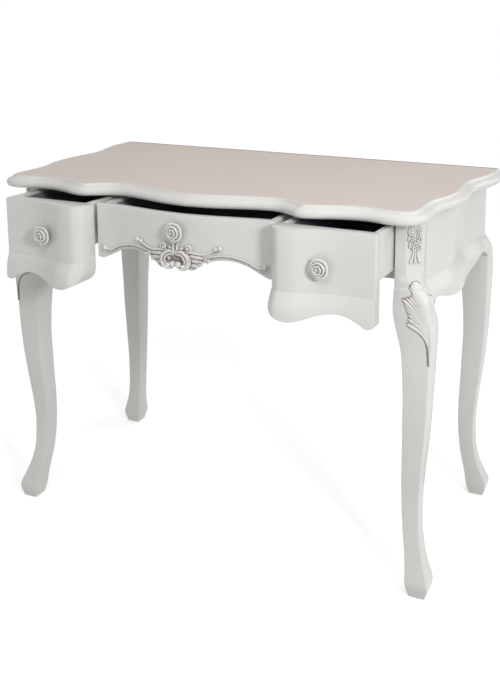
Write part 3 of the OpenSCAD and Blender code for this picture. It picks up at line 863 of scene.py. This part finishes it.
def build_drop(side):
    """Flowers, leaves and trumpets hanging down the chamfer of a front post."""
    name = "corner_drop_" + hand(side)
    half = CHAMFER[-1] / 2
    sunk = 0.9  # the carving starts a little inside the wood
    mid = np.array([side * (FRONT_FOOT[0] + FRONT_LEG[-1][2] - half), FRAME_Y + half + sunk, 0])
    across = np.array([side, 1, 0]) / math.sqrt(2)
    out = np.array([side, -1, 0]) / math.sqrt(2)

    def at(a, z, h):
        """The point a across the chamfer at height z, standing h off the wood."""
        return mid + across * a + out * h + np.array([0, 0, z])

    def rosette(a, z, h, r, turns):
        """A flower of one curled ribbon, its eye standing out."""
        t = np.linspace(0, 1, 22)
        turn = 0.6 + turns * 2 * math.pi * t
        reach = r * (1 - 0.8 * t)
        path = [at(a + q * math.cos(w), z + q * math.sin(w), h + 1.6 * k)
                for q, w, k in zip(reach, turn, t)]
        return [tube(path, [r * 0.24, r * 0.3, r * 0.24], 8), ball(at(a, z, h - 0.6), r * 0.55)]

    def daisy(a, z, h, r, turn):
        """A round eye with five round petals."""
        made = [ball(at(a, z, h + r * 0.3), r * 0.38)]
        for k in range(5):
            t = turn + k * 2 * math.pi / 5
            made.append(ball(at(a + 0.75 * r * math.cos(t), z + 0.75 * r * math.sin(t), h),
                             r * 0.42))
        return made

    def leaf(a0, z0, a1, z1, r):
        """A plump leaf that rises at its middle."""
        return tube([at(a0, z0, 1.5), at((a0 + a1) / 2, (z0 + z1) / 2, 3.0), at(a1, z1, 1.4)],
                    [r * 0.7, r, r * 0.4], 10)

    def shadow_band(a0, z0, a1, z1, r):
        """A dark band beside a flower or a leaf: painted shadow."""
        return tube([at(a0, z0, -r + 0.6), at(a1, z1, -r + 0.6)], [r, r], 16)

    pieces = rosette(-7.0, 734, 3.2, 8.8, 1.7) + rosette(8.6, 736, 2.8, 6.6, 1.5)
    pieces += daisy(7.4, 724, 2.6, 5.4, 0.9) + daisy(-5.2, 720, 2.8, 5.8, 0.1)
    pieces += daisy(5.0, 711.5, 2.8, 6.2, 0.5) + daisy(-5.0, 706.5, 2.6, 5.4, 0.8)
    pieces += daisy(5.2, 700, 2.4, 4.6, 0.2)
    pieces += [leaf(-12.5, 727, -14.0, 716, 2.6), leaf(-10.5, 714, -12.0, 704, 2.4),
               leaf(12.5, 721, 13.5, 711, 2.4), leaf(11.0, 708, 12.0, 699, 2.2),
               leaf(0, 700, -1, 694, 2.4)]
    # painted shadow: dark bands on one side of the flowers and leaves only
    pieces += [shadow_band(-13.8, 736, -14.5, 716, 3.0), shadow_band(-11.5, 715, -12.5, 703, 3.0),
               shadow_band(-8, 738, -8, 706, 7.0), shadow_band(-7.5, 703, -6, 699, 4.0)]
    # three trumpets, each with a bead at its mouth
    for a in (-8.4, 0.2, 8.8):
        pieces.append(tube([at(a * 0.35, 699, 2.2), at(a * 0.5, 690, 2.8), at(a * 0.8, 682, 2.8),
                            at(a, 678, 2.6)], [1.9, 2.0, 2.6, 3.6], 10))
        pieces.append(ball(at(a * 1.06, 675.6, 2.4), 2.9))
    obj = carved(name + "_carving", pieces, 0.5)
    above = (co_array(obj.data) / MM - mid) @ out
    # glaze low at the flowers' feet; the painted shadow bands are darkened fully
    glaze_and_shade_hollows(obj.data, np.clip((2.4 - above) / 1.4, 0, 1) * 0.9)
    placed(obj, "carcass", name)


# ---- acanthus leaves on the front knees ----

# Tips of the leaf's flutes on one half, lowest first: [distance round the corner, height, radius].
FLUTES = [
    (43.5, 559, 4.4), (39, 569.5, 4.4), (37, 578.5, 4.4), (38.5, 587.5, 4.8), (41.5, 597, 5.0),
    (43, 607, 5.4), (33, 611, 5.0), (25, 614, 4.8), (18.5, 617, 4.6), (14.5, 622, 4.8),
    (13, 629.5, 5.0), (9.5, 636, 5.2), (4, 640, 5.2), (0, 640.5, 5.2),
]
LEAF_ROOT_Z = 480
ROOT_R = 1.3  # radius of a flute at the leaf's root
LEG_CURVE = spline(FRONT_LEG, 6)


def leg_corner(z):
    """Outer x and y of the front leg about its foot's middle at height z, and its chamfer."""
    x = np.interp(z, LEG_CURVE[:, 0], LEG_CURVE[:, 2]) + lean_at(z)
    y = np.interp(z, LEG_CURVE[:, 0], LEG_CURVE[:, 4]) + lean_at(z)
    return x, y, chamfer_at(z)


def wrap(side, s, z, h):
    """The point s round the front leg's corner at height z, standing h off the wood."""
    x, y, c = leg_corner(z)
    flat = c / math.sqrt(2)
    beyond = max(0, abs(s) - flat)
    along = max(-flat, min(flat, s)) / math.sqrt(2)
    p = [x - c / 2 + along, y - c / 2 - along]
    p[1 if s > 0 else 0] -= beyond
    # away from the chamfer the direction off the wood turns square to the leg's face
    turn = 1 - 0.999 * min(1, beyond / 7)
    n = np.array([1, turn] if s > 0 else [turn, 1]) / math.hypot(1, turn)
    return np.array([side * (FRONT_FOOT[0] + p[0] + n[0] * h),
                     FRAME_Y + FRONT_FOOT[1] - p[1] - n[1] * h, z])


def bend(tip_s, tip_z, t):
    """How far round the corner a rib is, t along its height: the low ones turn out latest."""
    power = np.interp(tip_z, [553, 625], [6.0, 4.0])
    return tip_s * (0.12 * t + 0.88 * t ** power)


def flute(side, tip_s, tip_z, r_tip, wider=0, lift=0.9, crown=0.72):
    """A rounded rib from the leaf's root, bending out late to its own tip.

    It is wider on each side, has its middle at lift above the wood and is crown times as high as
    broad. Without a crown it is a thin flat band.
    """
    rings = []
    ts = np.concatenate([np.linspace(0, 0.92, 26), [0.95, 0.975, 0.99, 1]])
    for t in ts:
        s = bend(tip_s, tip_z, t)
        z = LEAF_ROOT_Z + (tip_z - LEAF_ROOT_Z) * t
        r = ROOT_R + (r_tip - ROOT_R) * t ** 2.6
        r *= math.sqrt(max(0.02, 1 - max(0, (t - 0.9) / 0.1) ** 2)) * min(1, 0.4 + t * 8)
        middle = lift + crown * t ** 4
        step = np.array([(bend(tip_s, tip_z, t + 0.01) - s) * 100, tip_z - LEAF_ROOT_Z])
        step /= np.linalg.norm(step)
        ring = []
        for a in np.linspace(0, 2 * math.pi, 14, endpoint=False):
            side_way = (r + wider) * math.cos(a)
            h = middle + (crown * r if crown else 0.8) * math.sin(a)
            ring.append(wrap(side, s + step[1] * side_way, z - step[0] * side_way, h))
        rings.append(ring)
    return loft(rings)


def build_leaf(side):
    """A fluted leaf that wraps the leg's corner, from its root up to a curled lobe."""
    name = "knee_leaf_" + hand(side)
    pieces = []
    for s, z, r in FLUTES:
        for way in (-1, 1):
            pieces.append(flute(side, way * s, z, r))
            # the glaze that has run round the rib's foot
            pieces.append(flute(side, way * s, z, r, wider=2.8, lift=-0.1, crown=0))
    # a web closes the leaf between its ribs
    tips = np.array([(s, z) for s, z, r in FLUTES])
    tips = np.concatenate([tips, tips[-2::-1] * (-1, 1)])
    web = []
    for h in (1.5, -0.8):
        web.append(np.array([[wrap(side, bend(s, z, t), LEAF_ROOT_Z + (z - LEAF_ROOT_Z) * t, h)
                              for t in np.linspace(0.02, 0.985, 30)] for s, z in tips]))
    pieces.append(slab(*web))
    obj = carved(name + "_carving", pieces, 0.7)
    co = co_array(obj.data) / MM
    x, y, c = leg_corner(co[:, 2])
    dx = side * co[:, 0] - FRONT_FOOT[0] - x
    dy = FRAME_Y + FRONT_FOOT[1] - co[:, 1] - y
    # how far each point stands off the leg's two faces and its chamfer
    above = np.maximum(np.maximum(dx, dy), (dx + dy + c) / math.sqrt(2))
    edge = np.clip((2.0 - above) / 1.0, 0, 1)
    grown = np.clip((co[:, 2] - 540) / 60, 0, 1)
    glaze_and_shade_hollows(obj.data, edge, 0.6 * grown)
    placed(obj, "carcass", name)


# ---- put it together ----

build_top()
for side in (-1, 1):
    for end in (-1, 1):
        build_leg(side, end)
    build_side_panel(side)
    build_side_face(side)
    build_drop(side)
    build_leaf(side)
build_centre_face()
build_rocaille()
for drawer in ("left", "centre", "right"):
    build_knob(drawer)
    for part in ("side_a", "side_b", "back"):
        build_board("drawer_%s_%s" % (drawer, part), "drawer_" + drawer, WHITE)
build_board("back_panel", "carcass", WHITE)

# the CAD pieces that nothing replaces are seen as they are, in the finish of their slot
finishes = {"lacquer": WHITE, "top_lacquer": TOP_FLAT, "carving": GLAZED_AND_SHADED, "bare_wood": WOOD,
            "flock": FLOCK, "steel": ZINC, "glide": NYLON}
for entry in frame["record"]["subparts"]:
    cad = frame["nodes"][entry["node"]]
    cad.data.materials.clear()
    cad.data.materials.append(finishes[entry["material_slot"]])


# ---- floor, lights and camera, in metres ----

FLOOR_HALF = 2000.0
WORLD_STRENGTH = 0.46
# (name, place, aimed at, size, power, whether reflections show it)
LIGHTS = [
    ("key", (1.75, -1.45, 1.4), (0.1, -0.2, 0.62), (0.35, 0.35), 23, False),
    ("side", (2.0, 0.6, 1.75), (0.4, 0.1, 0.6), (1.2, 1.0), 5, True),
    ("front", (0.5, -1.9, 2.6), (0, -0.2, 0.6), (1.3, 1.3), 15, False),
    ("above", (0.1, 0.3, 2.7), (0, 0, 0), (2.2, 2.2), 10, True),
    ("back", (2.1, 2.3, 1.5), (0, 0.2, 0.5), (1.4, 1.4), 8, True),
]
CAMERA_PLACE = (0.9499, -1.8298, 1.1582)
CAMERA_YAW = 0.4325  # radians to the left of straight ahead
CAMERA_PITCH = 0.189  # radians downwards
LENS_MM = 49.675
SENSOR_MM = 36


def build_floor():
    """A bright ground that throws no light back up at the feet, glowing more further out."""
    mesh = bpy.data.meshes.new("floor")
    r = FLOOR_HALF
    mesh.from_pydata([(-r, -r, 0), (r, -r, 0), (r, r, 0), (-r, r, 0)], [], [(0, 1, 2, 3)])
    obj = bpy.data.objects.new("floor", mesh)
    bpy.context.scene.collection.objects.link(obj)
    mat, tree, shader, where = new_material("floor_paint")
    shader.inputs["Base Color"].default_value = (0.92, 0.92, 0.92, 1)
    shader.inputs["Roughness"].default_value = 0.9
    shader.inputs["Specular IOR Level"].default_value = 0.1
    shader.inputs["Emission Color"].default_value = (1, 1, 1, 1)
    reach = node(tree, "ShaderNodeVectorMath", operation="LENGTH")
    tree.links.new(where, reach.inputs[0])
    glow = ranged(tree, reach.outputs["Value"], in_From_Min=1.0, in_From_Max=4.5,
                  in_To_Min=0.42, in_To_Max=0.58)
    tree.links.new(glow, shader.inputs["Emission Strength"])
    mesh.materials.append(mat)
    obj.visible_diffuse = False


def aimed(name, data, place, direction):
    """A light or camera that looks in a direction from its place."""
    obj = bpy.data.objects.new(name, data)
    obj.location = place
    obj.rotation_mode = "QUATERNION"
    obj.rotation_quaternion = direction.to_track_quat("-Z", "Y")
    bpy.context.scene.collection.objects.link(obj)
    return obj


def area_light(name, place, target, size, power, reflected):
    """A rectangular light; reflected says whether reflections show it."""
    data = bpy.data.lights.new(name, "AREA")
    data.shape = "RECTANGLE"
    data.size, data.size_y = size
    data.energy = power
    obj = aimed(name, data, place, Vector(target) - Vector(place))
    obj.visible_glossy = reflected


def build_lights():
    """A grey world and the five area lights."""
    world = bpy.data.worlds.new("studio")
    world.use_nodes = True
    world.node_tree.nodes["Background"].inputs["Color"].default_value = (1, 1, 1, 1)
    world.node_tree.nodes["Background"].inputs["Strength"].default_value = WORLD_STRENGTH
    bpy.context.scene.world = world
    for light in LIGHTS:
        area_light(*light)
    bpy.context.scene.view_settings.view_transform = "Standard"


def build_camera():
    """The view from the front right, a little above the table, with the lens shifted."""
    data = bpy.data.cameras.new("view")
    data.sensor_width = SENSOR_MM
    data.lens = LENS_MM
    data.shift_x = -0.047
    data.shift_y = -0.24
    level = math.cos(CAMERA_PITCH)
    forward = Vector((-math.sin(CAMERA_YAW) * level, math.cos(CAMERA_YAW) * level,
                      -math.sin(CAMERA_PITCH)))
    bpy.context.scene.camera = aimed("view", data, CAMERA_PLACE, forward)


build_floor()
build_lights()
build_camera()
